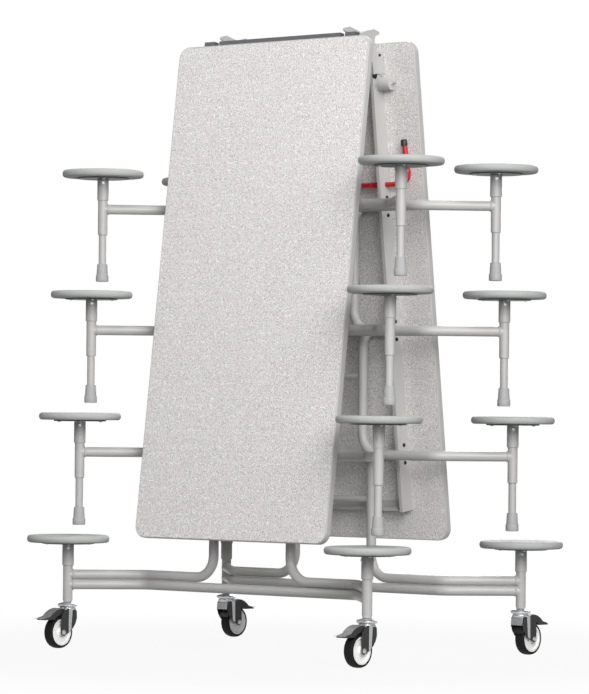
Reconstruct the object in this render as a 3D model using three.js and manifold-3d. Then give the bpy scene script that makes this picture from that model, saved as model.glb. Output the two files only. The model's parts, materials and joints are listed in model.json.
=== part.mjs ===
// Mobile folding dining table with round stools, standing folded on its castors.
// Frame: millimetres, +Z up, floor at z = 0, the fold line runs along X at y = 0.
// The front half lies on the -Y side and the rear half on the +Y side.
import * as THREE from 'three';
import createManifold from 'manifold-3d';

const wasm = await createManifold();
wasm.setup();
const { Manifold, Mesh } = wasm;

// Table top halves
const TABLE_HEIGHT = 695;
const TOP_WIDTH = 800;
const TOP_LENGTH = 1625;
const TOP_THICKNESS = 25;
const TOP_CORNER_RADIUS = 40;
const CENTRE_GAP = 4;
const FOLD_LEAN = 7.2;

// Hinge at the fold line, and the rails under each half
const HINGE_TO_SURFACE = 126;
const HINGE_TUBE_DIAMETER = 30;
const HINGE_TUBE_OVERHANG = 10;
const EYE_CLEARANCE = 1;
const EYE_WALL = 14;
const PLATE_THICKNESS = 6;
const PLATE_REACH = 45;
const PLATE_WELD = 70;
const PLATE_EASE = 6;
const FINGER_BELOW_TOP = 13;
const RAIL_SPACING = 530;
const RAIL_DEPTH = 55;
const RAIL_THICKNESS = 4;
const RAIL_FLANGE = 34;
const RAIL_LIP = 8;
const RAIL_START = 30;
const RAIL_PAST_PIVOT = 188;
const TIE_DEPTH = 34;
const TIE_WIDTH = 31;
const TIE_LIP = 12;
const LEDGE_OVERHANG = 18;
const LEDGE_DEPTH = 24;
const LEDGE_LENGTH = 636;
const LEDGE_STRIP = 2;
const LEDGE_ROOM = 9;
const LEDGE_NOTCH_CLEARANCE = 1.5;
const SPRING_DRUM_DIAMETER = 44;
const SPRING_DRUM_LENGTH = 54;
const SPRING_DRUM_DROP = 8;

// Lock rod with its bent handle, and the catch rod of the other half
const LOCK_ROD_DIAMETER = 16;
const ROD_OVERHANG = 18;
const LOCK_FROM_PIVOT = 71;
const LOCK_DEPTH = 22;
const HANDLE_OFFSET = 364;
const HANDLE_RISE = 141;
const HANDLE_BEND = 36;
const HANDLE_LEAN = 14;
const PAWL_LENGTH = 30;
const PAWL_WIDTH = 14;
const PAWL_THICKNESS = 6;
const PAWL_FROM_RAIL = 40;
const CATCH_FROM_PIVOT = 92;
const CATCH_DEPTH = 39;
const CATCH_REACH = 447;
const CATCH_KNOB_DIAMETER = 24;
const CATCH_KNOB_LENGTH = 16;

// Stool frames
const ROWS = 4;
const ROW_PITCH = 405;
const STACK_CLEARANCE = 20;
const FIRST_PIVOT = 125;
const PIVOT_DEPTH = 24;
const PIVOT_TUBE_DIAMETER = 26;
const LEG_DIAMETER = 32;
const LEG_SPACING = 322;
const LEG_OFFSET = 10.5;
const LEG_SETBACK = 24;
const LEG_BEND = 72;
const LEG_INSIDE_BAR = 44;
const KNEE_SLOPE = 1.6;
const BRACE_DIAMETER = 20;
const BRACE_DROP = 150;
const BAR_DIAMETER = 32;
const BAR_BEND = 60;
const ARM_REACH = 180;
const STOOL_SPACING = 1252;
const SEAT_HEIGHT = 369;
const SEAT_DIAMETER = 270;
const SEAT_THICKNESS = 24;
const SEAT_RIM = 7;
const SEAT_DISH = 3;
const BAR_BELOW_SEAT = 129;
const DOUBLE_BAR_GAP = 0.5;
const SEAT_PLATE_DIAMETER = 172;
const SEAT_PLATE_THICKNESS = 4;
const SLEEVE_DIAMETER = 38;
const SLEEVE_LENGTH = 75;
const POST_DIAMETER = 32;
const POST_LENGTH = 190;
const LOWER_TUBE_DIAMETER = 25;
const POST_TAPER_LENGTH = 8;
const POST_TAPER = 2;

// Rubber feet
const FOOT_HEIGHT = 59;
const FOOT_TOP_DIAMETER = 34;
const FOOT_BASE_DIAMETER = 38;
const FOOT_FLANGE_DIAMETER = 42;
const FOOT_FLANGE_HEIGHT = 22;
const FOOT_SOCKET = 34;

// Braked castors under the end stools
const CASTOR_HEIGHT = 150;
const WHEEL_DIAMETER = 106;
const WHEEL_WIDTH = 36;
const TREAD_ROUND = 8;
const CASTOR_TRAIL = 43;
const STEM_DIAMETER = 12;
const STEM_LENGTH = 36;
const AXLE_DIAMETER = 10;
const AXLE_HEAD = 3;
const FORK_PLATE = 3;
const FORK_GAP = 1.5;
const FORK_BACK = 16;
const CROWN_DROP = 32;
const CROWN_THICKNESS = 12;
const CHEEK_RADIUS = 13;
const SWIVEL_RIM = 10;
const SWIVEL_HEAD = 26;
const SWIVEL_BEVEL = 4;
const SWIVEL_TAPER = 10;
const HOOD_GAP = 4;
const HOOD_DEPTH = 20;
const HOOD_START_ANGLE = 96;
const HOOD_END_ANGLE = 48;
const TOE_START_ANGLE = 44;
const TOE_REACH = 87;
const TOE_HEIGHT = 99;
const TOE_THICKNESS = 4;

// Clearances between neighbouring pieces
const SEAT_GAP = 0.3;
const SLIDE_GAP = 0.4;
const MOVE_GAP = 0.6;
const TUBE_SIDES = 8;
const ROUND_SIDES = 20;

// Sizes that follow from the ones above
const lean = THREE.MathUtils.degToRad(FOLD_LEAN);
const sinLean = Math.sin(lean);
const cosLean = Math.cos(lean);
const underside = HINGE_TO_SURFACE - TOP_THICKNESS;
const pivotLevel = underside - PIVOT_DEPTH;
const rowPitch = Math.max(ROW_PITCH, (SEAT_HEIGHT + STACK_CLEARANCE) / cosLean);
const lastPivot = FIRST_PIVOT + rowPitch * (ROWS - 1);
const pivotHeight = TABLE_HEIGHT - TOP_THICKNESS - PIVOT_DEPTH;
const hingeHeight = pivotHeight + lastPivot * cosLean - pivotLevel * sinLean;
const webInside = RAIL_SPACING / 2 - RAIL_THICKNESS / 2;
const webOutside = webInside + RAIL_THICKNESS;
const railEnd = lastPivot + RAIL_PAST_PIVOT;
const secondPivot = FIRST_PIVOT + rowPitch;
const lockAlong = secondPivot - LOCK_FROM_PIVOT;
const catchAlong = secondPivot - CATCH_FROM_PIVOT;
const lockLevel = underside - LOCK_DEPTH;
const catchLevel = underside - CATCH_DEPTH;
const rodEnd = webOutside + ROD_OVERHANG;
const flangeInside = webOutside - RAIL_FLANGE;
const outerPlate = webOutside + MOVE_GAP;
const innerPlate = webInside - MOVE_GAP;
const seatUnderside = SEAT_HEIGHT - SEAT_THICKNESS;
const plateTop = seatUnderside - SEAT_GAP;
const barHeight = SEAT_HEIGHT - BAR_BELOW_SEAT;
const lowerBarHeight = barHeight - BAR_DIAMETER - DOUBLE_BAR_GAP;
const stoolX = STOOL_SPACING / 2;
const stoolOut = ARM_REACH - LEG_SETBACK;
const bendX = stoolX - ARM_REACH;
const wheelRadius = WHEEL_DIAMETER / 2;
const forkInside = WHEEL_WIDTH / 2 + FORK_GAP;
const forkOutside = forkInside + FORK_PLATE;

// Turns a closed triangle mesh into a solid for joining and cutting.
function solid(geometry) {
  const source = geometry.index ? geometry.toNonIndexed() : geometry;
  const corners = source.getAttribute('position');
  const seen = new Map();
  const points = [];
  const triangles = [];
  for (let i = 0; i < corners.count; i += 1) {
    const xyz = [corners.getX(i), corners.getY(i), corners.getZ(i)];
    const key = xyz.map((value) => Math.round(value * 1e4)).join(' ');
    if (!seen.has(key)) {
      seen.set(key, points.length / 3);
      points.push(...xyz);
    }
    triangles.push(seen.get(key));
  }
  const kept = [];
  for (let i = 0; i < triangles.length; i += 3) {
    const [a, b, c] = triangles.slice(i, i + 3);
    if (a !== b && b !== c && c !== a) {
      kept.push(a, b, c);
    }
  }
  return new Manifold(new Mesh({
    numProp: 3,
    vertProperties: new Float32Array(points),
    triVerts: new Uint32Array(kept),
  }));
}

// Turns a solid back into a triangle mesh with flat normals.
function shape(body) {
  const mesh = body.getMesh();
  const geometry = new THREE.BufferGeometry();
  geometry.setAttribute('position', new THREE.BufferAttribute(mesh.vertProperties, 3));
  geometry.setIndex(new THREE.BufferAttribute(mesh.triVerts, 1));
  const flat = geometry.toNonIndexed();
  flat.computeVertexNormals();
  return flat;
}

function join(...geometries) {
  return shape(Manifold.union(geometries.map(solid)));
}

function cut(geometry, ...tools) {
  return shape(solid(geometry).subtract(Manifold.union(tools.map(solid))));
}

// Rounds the corners of a line of points with arcs of the given radius.
function rounded(points, radius, steps) {
  const path = [points[0]];
  for (let i = 1; i < points.length - 1; i += 1) {
    const back = points[i - 1].clone().sub(points[i]).normalize();
    const ahead = points[i + 1].clone().sub(points[i]).normalize();
    const half = back.angleTo(ahead) / 2;
    const setback = radius / Math.tan(half);
    const middle = back.clone().add(ahead).normalize();
    const centre = points[i].clone().addScaledVector(middle, radius / Math.sin(half));
    const start = points[i].clone().addScaledVector(back, setback).sub(centre);
    const end = points[i].clone().addScaledVector(ahead, setback).sub(centre);
    const sweep = start.angleTo(end);
    for (let step = 0; step <= steps; step += 1) {
      const t = step / steps;
      const a = Math.sin((1 - t) * sweep) / Math.sin(sweep);
      const b = Math.sin(t * sweep) / Math.sin(sweep);
      path.push(centre.clone().addScaledVector(start, a).addScaledVector(end, b));
    }
  }
  path.push(points[points.length - 1]);
  return path;
}

// Round bar swept along a line of points, closed at both ends.
function tube(path, diameter, sides = TUBE_SIDES) {
  const tangents = path.map((point, i) => {
    const before = path[Math.max(i - 1, 0)];
    const after = path[Math.min(i + 1, path.length - 1)];
    const into = point.clone().sub(before).normalize();
    const out = after.clone().sub(point).normalize();
    return into.add(out).normalize();
  });
  const first = tangents[0];
  const helper = Math.abs(first.x) < 0.8 ? new THREE.Vector3(1, 0, 0) : new THREE.Vector3(0, 1, 0);
  let across = helper.clone().cross(first).normalize();
  const rings = path.map((point, i) => {
    across = across.clone().addScaledVector(tangents[i], -across.dot(tangents[i])).normalize();
    const beside = tangents[i].clone().cross(across);
    return Array.from({ length: sides }, (_, j) => {
      const angle = ((j + 0.5) / sides) * Math.PI * 2;
      return point.clone()
        .addScaledVector(across, Math.cos(angle) * diameter / 2)
        .addScaledVector(beside, Math.sin(angle) * diameter / 2);
    });
  });
  const faces = [];
  for (let i = 0; i < rings.length - 1; i += 1) {
    for (let j = 0; j < sides; j += 1) {
      const k = (j + 1) % sides;
      faces.push(rings[i][j], rings[i][k], rings[i + 1][k]);
      faces.push(rings[i][j], rings[i + 1][k], rings[i + 1][j]);
    }
  }
  const last = rings[rings.length - 1];
  for (let j = 1; j < sides - 1; j += 1) {
    faces.push(rings[0][0], rings[0][j + 1], rings[0][j]);
    faces.push(last[0], last[j], last[j + 1]);
  }
  return new THREE.BufferGeometry().setFromPoints(faces);
}

// Straight round bar along X between two ends, at the given y and z.
function rod(from, to, y, z, diameter, sides = TUBE_SIDES) {
  return tube([new THREE.Vector3(from, y, z), new THREE.Vector3(to, y, z)], diameter, sides);
}

// Box between two opposite corners.
function block(low, high) {
  const size = high.map((value, i) => value - low[i]);
  const box = new THREE.BoxGeometry(...size);
  return box.translate(...high.map((value, i) => (value + low[i]) / 2));
}

// Outline in the y-z plane, given thickness along X from one side to the other.
function slab(outline, from, to) {
  const flat = new THREE.Shape(outline.map(([y, z]) => new THREE.Vector2(y, z)));
  const body = new THREE.ExtrudeGeometry(flat, { depth: to - from, bevelEnabled: false });
  const turn = new THREE.Matrix4().makeBasis(
    new THREE.Vector3(0, 1, 0),
    new THREE.Vector3(0, 0, 1),
    new THREE.Vector3(1, 0, 0),
  );
  return body.applyMatrix4(turn).translate(from, 0, 0);
}

// Turned piece about the upright axis from a radius and height profile.
function turned(profile, sides = ROUND_SIDES) {
  const points = profile.map(([radius, height]) => new THREE.Vector2(radius, height));
  return new THREE.LatheGeometry(points, sides).rotateX(Math.PI / 2);
}

function material(name, color, roughness, metalness) {
  return new THREE.MeshStandardMaterial({ name, color, roughness, metalness });
}

const laminate = material('speckled_laminate', 0xdedbda, 0.5, 0);
const frameSteel = material('grey_painted_steel', 0xc8c8c6, 0.45, 0.2);
const darkSteel = material('dark_painted_steel', 0x55565a, 0.5, 0.3);
const seatPlastic = material('grey_seat_plastic', 0xaaacaa, 0.55, 0);
const footRubber = material('grey_rubber', 0xa0a1a0, 0.7, 0);
const handleRed = material('red_painted_steel', 0xbe1e28, 0.4, 0.1);
const zinc = material('zinc_steel', 0xb6b9bc, 0.35, 0.8);
const wheelRubber = material('black_tyre', 0x1d1d1f, 0.7, 0);
const pedalPlastic = material('black_plastic', 0x27282a, 0.55, 0);

function piece(name, geometry, finish, parent) {
  const mesh = new THREE.Mesh(geometry, finish.clone());
  mesh.name = name;
  parent.add(mesh);
}

// One half of the table top: a flat board with rounded corners.
function topBoard() {
  const near = CENTRE_GAP / 2;
  const far = near + TOP_LENGTH;
  const side = TOP_WIDTH / 2;
  const r = TOP_CORNER_RADIUS;
  const board = new THREE.Shape();
  board.moveTo(-side + r, near);
  board.lineTo(side - r, near);
  board.absarc(side - r, near + r, r, -Math.PI / 2, 0);
  board.lineTo(side, far - r);
  board.absarc(side - r, far - r, r, 0, Math.PI / 2);
  board.lineTo(-side + r, far);
  board.absarc(-side + r, far - r, r, Math.PI / 2, Math.PI);
  board.lineTo(-side, near + r);
  board.absarc(-side + r, near + r, r, Math.PI, Math.PI * 1.5);
  const settings = { depth: TOP_THICKNESS, bevelEnabled: false, curveSegments: 6 };
  return new THREE.ExtrudeGeometry(board, settings).translate(0, 0, underside);
}

// Hinge plate: an eye round the hinge tube and a stop finger under the other half.
function hingePlate(from) {
  const to = from + PLATE_THICKNESS;
  const top = underside - SEAT_GAP - RAIL_THICKNESS / 2;
  const bottom = underside - RAIL_DEPTH;
  const eye = HINGE_TUBE_DIAMETER / 2 + EYE_WALL;
  const notch = underside - LEDGE_DEPTH - LEDGE_ROOM;
  const tip = underside - FINGER_BELOW_TOP;
  const outline = [
    [RAIL_START + PLATE_WELD, bottom],
    [RAIL_START + PLATE_WELD, top],
    [RAIL_START, top],
    [RAIL_START, notch + PLATE_EASE],
    [RAIL_START - PLATE_EASE, notch - PLATE_EASE],
    [-PLATE_REACH / 4, notch - PLATE_EASE],
    [-PLATE_REACH / 2, notch],
    [-PLATE_REACH * 0.6, tip],
    [-PLATE_REACH * 0.78, tip],
    [-PLATE_REACH, notch - PLATE_EASE],
    [-PLATE_REACH * 0.88, PLATE_EASE],
    [-eye * 0.8, -eye * 0.6],
    [-eye * 0.2, -eye],
    [eye * 0.5, -eye * 0.85],
    [RAIL_START + PLATE_REACH / 2, bottom - PLATE_EASE],
  ];
  const eyeSize = HINGE_TUBE_DIAMETER + EYE_CLEARANCE * 2;
  const hole = rod(from - EYE_CLEARANCE, to + EYE_CLEARANCE, 0, 0, eyeSize, 16);
  return cut(slab(outline, from, to), hole);
}

// Channel rail screwed under the top, with its hinge plate held off the web by a weld pad.
function rail(side, isRear, hasDrum, rodAlong, rodLevel) {
  const top = underside - SEAT_GAP;
  const bottom = underside - RAIL_DEPTH;
  const padStart = PLATE_REACH + LEDGE_ROOM;
  const padEnd = RAIL_START + PLATE_WELD;
  const web = block([webInside, RAIL_START, bottom], [webOutside, railEnd, top]);
  const flange = block([flangeInside, RAIL_START, top - RAIL_THICKNESS], [webOutside, railEnd, top]);
  const lip = block([webInside - RAIL_LIP, padStart, bottom], [webOutside, railEnd, bottom + RAIL_THICKNESS]);
  const pad = isRear
    ? block([webInside, padStart, bottom], [outerPlate + PLATE_THICKNESS, padEnd, top - RAIL_THICKNESS])
    : block([innerPlate - PLATE_THICKNESS, padStart, bottom], [webOutside, padEnd, top - RAIL_THICKNESS]);
  const plate = hingePlate(isRear ? outerPlate : innerPlate - PLATE_THICKNESS);
  const parts = [web, flange, lip, pad, plate];
  if (hasDrum) {
    const level = top - RAIL_THICKNESS / 2 - SPRING_DRUM_DIAMETER / 2;
    const drumEnd = webOutside + SPRING_DRUM_LENGTH;
    const along = FIRST_PIVOT + SPRING_DRUM_DROP;
    parts.push(rod(webInside, drumEnd, along, level, SPRING_DRUM_DIAMETER, 16));
  }
  const holeSize = LOCK_ROD_DIAMETER + SLIDE_GAP * 4;
  const hole = rod(webInside - RAIL_THICKNESS, webOutside + RAIL_THICKNESS, rodAlong, rodLevel, holeSize, 12);
  const body = cut(join(...parts), hole);
  return side > 0 ? body : shape(solid(body).mirror([1, 0, 0]));
}

// Cross tie between the free ends of the two rails: a flat strip, a flange and a turned-up lip.
function crossTie() {
  const end = flangeInside - SEAT_GAP;
  const top = underside - SEAT_GAP;
  const lipTop = top - TIE_DEPTH + RAIL_THICKNESS;
  const outline = [
    [railEnd - TIE_WIDTH, top],
    [railEnd - TIE_WIDTH, top - RAIL_THICKNESS],
    [railEnd - RAIL_THICKNESS, top - RAIL_THICKNESS],
    [railEnd - RAIL_THICKNESS, lipTop],
    [railEnd - TIE_LIP, lipTop],
    [railEnd - TIE_LIP, top - TIE_DEPTH],
    [railEnd, top - TIE_DEPTH],
    [railEnd, top],
  ];
  return slab(outline.reverse(), -end, end);
}

// Ledge under the centre edge of the front half that carries the rear half's edge.
// Its nose is notched where the hinge plates pass.
function jointLedge() {
  const top = underside - SEAT_GAP;
  const strip = top - LEDGE_STRIP;
  const half = LEDGE_LENGTH / 2;
  const noseEnd = RAIL_START / 2;
  const base = block([-half, CENTRE_GAP, strip], [half, RAIL_START - LEDGE_STRIP, top]);
  const inner = innerPlate - PLATE_THICKNESS - LEDGE_NOTCH_CLEARANCE;
  const outer = outerPlate + PLATE_THICKNESS + LEDGE_NOTCH_CLEARANCE;
  const nose = [
    [noseEnd, strip + LEDGE_STRIP / 4],
    [-LEDGE_OVERHANG, strip - LEDGE_STRIP / 2],
    [-LEDGE_OVERHANG, underside - LEDGE_DEPTH],
    [noseEnd, underside - LEDGE_DEPTH],
  ];
  return join(
    base,
    slab(nose, -inner, inner),
    slab(nose, outer, half),
    slab(nose, -half, -outer),
  );
}

// Lock rod through both rails: bent up handle on the right, two short pawls between the rails.
function lockHandle() {
  const v = (x, y, z) => new THREE.Vector3(x, y, z);
  const path = rounded([
    v(-rodEnd, lockAlong, lockLevel),
    v(HANDLE_OFFSET, lockAlong, lockLevel),
    v(HANDLE_OFFSET - HANDLE_LEAN, lockAlong - HANDLE_RISE, lockLevel),
  ], HANDLE_BEND, 6);
  const pawlOut = webInside - PAWL_FROM_RAIL;
  const pawlTop = lockLevel + LOCK_ROD_DIAMETER / 4;
  const pawl = (from) => block(
    [from, lockAlong - PAWL_WIDTH / 2, lockLevel - PAWL_LENGTH],
    [from + PAWL_THICKNESS, lockAlong + PAWL_WIDTH / 2, pawlTop],
  );
  return join(tube(path, LOCK_ROD_DIAMETER, 12), pawl(pawlOut - PAWL_THICKNESS), pawl(-pawlOut));
}

// Plain catch rod of the front half, with a round knob at its outer end.
function catchRod() {
  const knobStart = CATCH_REACH - CATCH_KNOB_LENGTH;
  const inKnob = CATCH_REACH - CATCH_KNOB_LENGTH / 2;
  return join(
    rod(-rodEnd, inKnob, catchAlong, catchLevel, LOCK_ROD_DIAMETER, 12),
    rod(knobStart, CATCH_REACH, catchAlong, catchLevel, CATCH_KNOB_DIAMETER, 12),
  );
}

// Stool post: seat plate, sleeve, post and lower tube turned as one piece.
function stoolPost(isEnd) {
  const postEnd = seatUnderside - POST_LENGTH;
  const profile = [
    [0, plateTop],
    [SEAT_PLATE_DIAMETER / 2, plateTop],
    [SEAT_PLATE_DIAMETER / 2, plateTop - SEAT_PLATE_THICKNESS],
    [SLEEVE_DIAMETER / 2, plateTop - SEAT_PLATE_THICKNESS],
    [SLEEVE_DIAMETER / 2, seatUnderside - SLEEVE_LENGTH],
    [POST_DIAMETER / 2, seatUnderside - SLEEVE_LENGTH],
  ];
  if (isEnd) {
    const bottom = CASTOR_HEIGHT + MOVE_GAP;
    const bore = STEM_DIAMETER / 2 + SLIDE_GAP;
    profile.push([POST_DIAMETER / 2, bottom + POST_TAPER_LENGTH]);
    profile.push([POST_DIAMETER / 2 - POST_TAPER, bottom]);
    profile.push([bore, bottom]);
    profile.push([bore, bottom + STEM_LENGTH]);
    profile.push([0, bottom + STEM_LENGTH]);
  } else {
    const bottom = FOOT_HEIGHT - FOOT_SOCKET + SLIDE_GAP;
    profile.push([POST_DIAMETER / 2, postEnd]);
    profile.push([LOWER_TUBE_DIAMETER / 2, postEnd]);
    profile.push([LOWER_TUBE_DIAMETER / 2, bottom]);
    profile.push([0, bottom]);
  }
  return turned(profile.reverse(), 10);
}

// Welded stool frame, measured from its pivot: y outward, heights from the floor.
function stoolFrame(isEnd) {
  const v = (x, y, z) => new THREE.Vector3(x, y, z);
  const legX = LEG_SPACING / 2;
  const legTop = pivotHeight;
  const armLine = (z) => rounded([
    v(-stoolX, stoolOut, z),
    v(-bendX, -LEG_SETBACK, z),
    v(bendX, -LEG_SETBACK, z),
    v(stoolX, stoolOut, z),
  ], BAR_BEND, 3);
  const parts = [
    rod(-innerPlate, innerPlate, 0, pivotHeight, PIVOT_TUBE_DIAMETER),
    rod(-legX - LEG_OFFSET, legX - LEG_OFFSET, -LEG_SETBACK, pivotHeight - BRACE_DROP, BRACE_DIAMETER, 8),
    tube(armLine(isEnd ? lowerBarHeight : barHeight), BAR_DIAMETER),
  ];
  for (const side of [-1, 1]) {
    const legAt = side * legX - LEG_OFFSET;
    const upper = [
      v(legAt, 0, legTop),
      v(legAt, -LEG_SETBACK, legTop - LEG_SETBACK * KNEE_SLOPE),
    ];
    const ends = isEnd
      ? [v(side * bendX, -LEG_SETBACK, barHeight), v(side * stoolX, stoolOut, barHeight)]
      : [v(legAt + side * (LEG_BEND + LEG_INSIDE_BAR), -LEG_SETBACK, barHeight)];
    const foot = v(legAt, -LEG_SETBACK, barHeight);
    const knee = rounded([...upper, foot], LEG_SETBACK, 2);
    const heel = rounded([knee[knee.length - 2], foot, ends[0]], LEG_BEND, 4);
    const wrist = isEnd ? rounded([heel[heel.length - 2], ...ends], BAR_BEND, 3) : ends;
    const legLine = [...knee.slice(0, -1), ...heel.slice(1, -1), ...wrist.slice(isEnd ? 1 : 0)];
    const post = stoolPost(isEnd).translate(side * stoolX, stoolOut, 0);
    parts.push(tube(legLine, LEG_DIAMETER), post);
  }
  return join(...parts);
}

// Round stool seat: a disc with a rounded rim and a shallow dish.
function seat() {
  const r = SEAT_DIAMETER / 2;
  const low = seatUnderside;
  const high = SEAT_HEIGHT;
  return turned([
    [0, low],
    [r - SEAT_RIM, low],
    [r, low + SEAT_RIM],
    [r, high - SEAT_RIM],
    [r - SEAT_RIM, high],
    [0, high - SEAT_DISH],
  ]);
}

// Rubber foot with a blind socket for the lower tube.
function rubberFoot() {
  const bore = LOWER_TUBE_DIAMETER / 2 + SLIDE_GAP;
  return turned([
    [0, 0],
    [FOOT_FLANGE_DIAMETER / 2, 0],
    [FOOT_FLANGE_DIAMETER / 2, FOOT_FLANGE_HEIGHT],
    [FOOT_BASE_DIAMETER / 2, FOOT_FLANGE_HEIGHT],
    [FOOT_TOP_DIAMETER / 2, FOOT_HEIGHT],
    [bore, FOOT_HEIGHT],
    [bore, FOOT_HEIGHT - FOOT_SOCKET],
    [0, FOOT_HEIGHT - FOOT_SOCKET],
  ], 10);
}

// Castor fork: stem, swivel head, crown, two side plates and the axle.
function castorFork() {
  const top = CASTOR_HEIGHT;
  const crownLow = top - CROWN_DROP;
  const crownHigh = crownLow + CROWN_THICKNESS;
  const crownEnd = CASTOR_TRAIL - CHEEK_RADIUS;
  const head = turned([
    [0, top - SWIVEL_HEAD],
    [forkOutside + SWIVEL_RIM / 2, top - SWIVEL_HEAD],
    [forkOutside + SWIVEL_RIM, top - SWIVEL_BEVEL - SWIVEL_TAPER],
    [forkOutside + SWIVEL_RIM, top - SWIVEL_BEVEL],
    [STEM_DIAMETER, top],
    [STEM_DIAMETER / 2, top],
    [STEM_DIAMETER / 2, top + STEM_LENGTH - SLIDE_GAP],
    [0, top + STEM_LENGTH - SLIDE_GAP],
  ], 12);
  const cheek = [
    [-FORK_BACK, crownHigh],
    [-FORK_BACK, crownLow - CHEEK_RADIUS],
    [CASTOR_TRAIL - CHEEK_RADIUS, wheelRadius],
    [CASTOR_TRAIL - CHEEK_RADIUS / 2, wheelRadius - CHEEK_RADIUS],
    [CASTOR_TRAIL + CHEEK_RADIUS / 2, wheelRadius - CHEEK_RADIUS],
    [CASTOR_TRAIL + CHEEK_RADIUS, wheelRadius],
    [crownEnd, crownHigh],
  ];
  const axleEnd = forkOutside + AXLE_HEAD;
  return join(
    head,
    block([-forkOutside, -FORK_BACK, crownLow], [forkOutside, crownEnd, crownHigh]),
    slab(cheek, forkInside, forkOutside),
    slab(cheek, -forkOutside, -forkInside),
    rod(-axleEnd, axleEnd, CASTOR_TRAIL, wheelRadius, AXLE_DIAMETER),
  );
}

// Castor wheel with a rounded tread and a bore for the axle.
function castorWheel() {
  const half = WHEEL_WIDTH / 2;
  const bore = AXLE_DIAMETER / 2 + SLIDE_GAP;
  const wheel = turned([
    [bore, -half],
    [wheelRadius - TREAD_ROUND, -half],
    [wheelRadius, -half + TREAD_ROUND],
    [wheelRadius, half - TREAD_ROUND],
    [wheelRadius - TREAD_ROUND, half],
    [bore, half],
    [bore, -half],
  ]);
  return wheel.rotateY(Math.PI / 2).translate(0, CASTOR_TRAIL, wheelRadius);
}

// Points of an arc about the castor's axle, between two angles in degrees.
function axleArc(radius, from, to, steps) {
  return Array.from({ length: steps + 1 }, (_, i) => {
    const angle = THREE.MathUtils.degToRad(from + (to - from) * i / steps);
    return [CASTOR_TRAIL + radius * Math.cos(angle), wheelRadius + radius * Math.sin(angle)];
  });
}

// Brake pedal: a hood curved over the wheel with a toe plate pointing outward.
function brakePedal() {
  const inside = wheelRadius + HOOD_GAP;
  const toe = CASTOR_TRAIL + TOE_REACH;
  const outline = [
    ...axleArc(inside, HOOD_START_ANGLE, HOOD_END_ANGLE, 6),
    [toe, TOE_HEIGHT - TOE_THICKNESS],
    [toe, TOE_HEIGHT],
    ...axleArc(inside + HOOD_DEPTH, TOE_START_ANGLE, HOOD_START_ANGLE, 5),
  ];
  return slab(outline.reverse(), -forkInside + MOVE_GAP, forkInside - MOVE_GAP);
}

const table = new THREE.Group();
table.name = 'mobile_folding_stool_table';

const hingeLine = new THREE.Group();
hingeLine.position.z = hingeHeight;
table.add(hingeLine);
const hingeEnd = outerPlate + PLATE_THICKNESS + HINGE_TUBE_OVERHANG;
piece('hinge_tube', rod(-hingeEnd, hingeEnd, 0, 0, HINGE_TUBE_DIAMETER, 16), frameSteel, hingeLine);

for (const half of ['front', 'rear']) {
  const isRear = half === 'rear';
  const facing = new THREE.Group();
  facing.rotation.z = isRear ? 0 : Math.PI;
  table.add(facing);
  const sideName = (side) => ((isRear ? side : -side) > 0 ? 'right' : 'left');

  const folded = new THREE.Group();
  folded.position.z = hingeHeight;
  folded.rotation.x = lean - Math.PI / 2;
  facing.add(folded);
  piece(`table_top_${half}`, topBoard(), laminate, folded);
  piece(`cross_tie_${half}`, crossTie(), frameSteel, folded);
  for (const side of [-1, 1]) {
    const rodAlong = isRear ? lockAlong : catchAlong;
    const rodLevel = isRear ? lockLevel : catchLevel;
    const geometry = rail(side, isRear, side > 0, rodAlong, rodLevel);
    piece(`rail_${half}_${sideName(side)}`, geometry, frameSteel, folded);
  }
  if (isRear) {
    piece('lock_handle', lockHandle(), handleRed, folded);
  } else {
    piece('joint_ledge', jointLedge(), darkSteel, folded);
    piece('catch_rod', catchRod(), frameSteel, folded);
  }

  for (let row = 1; row <= ROWS; row += 1) {
    const isEnd = row === ROWS;
    const along = FIRST_PIVOT + rowPitch * (row - 1);
    const level = new THREE.Group();
    level.position.y = along * sinLean + pivotLevel * cosLean;
    level.position.z = hingeHeight - along * cosLean + pivotLevel * sinLean - pivotHeight;
    facing.add(level);
    piece(`stool_frame_${half}_${row}`, stoolFrame(isEnd), frameSteel, level);
    for (const side of [-1, 1]) {
      const stool = new THREE.Group();
      stool.position.set(side * stoolX, stoolOut, 0);
      level.add(stool);
      const place = `${half}_${sideName(side)}`;
      piece(`seat_${place}_${row}`, seat(), seatPlastic, stool);
      if (isEnd) {
        piece(`castor_fork_${place}`, castorFork(), zinc, stool);
        piece(`castor_wheel_${place}`, castorWheel(), wheelRubber, stool);
        piece(`brake_pedal_${place}`, brakePedal(), pedalPlastic, stool);
      } else {
        piece(`foot_${place}_${row}`, rubberFoot(), footRubber, stool);
      }
    }
  }
}

export default table;
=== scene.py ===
"""Mobile folding table with round stools, standing folded on its castors."""
import json
from math import cos, pi, radians, sin

import bpy
import numpy as np
from mathutils import Matrix, Vector


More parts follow.
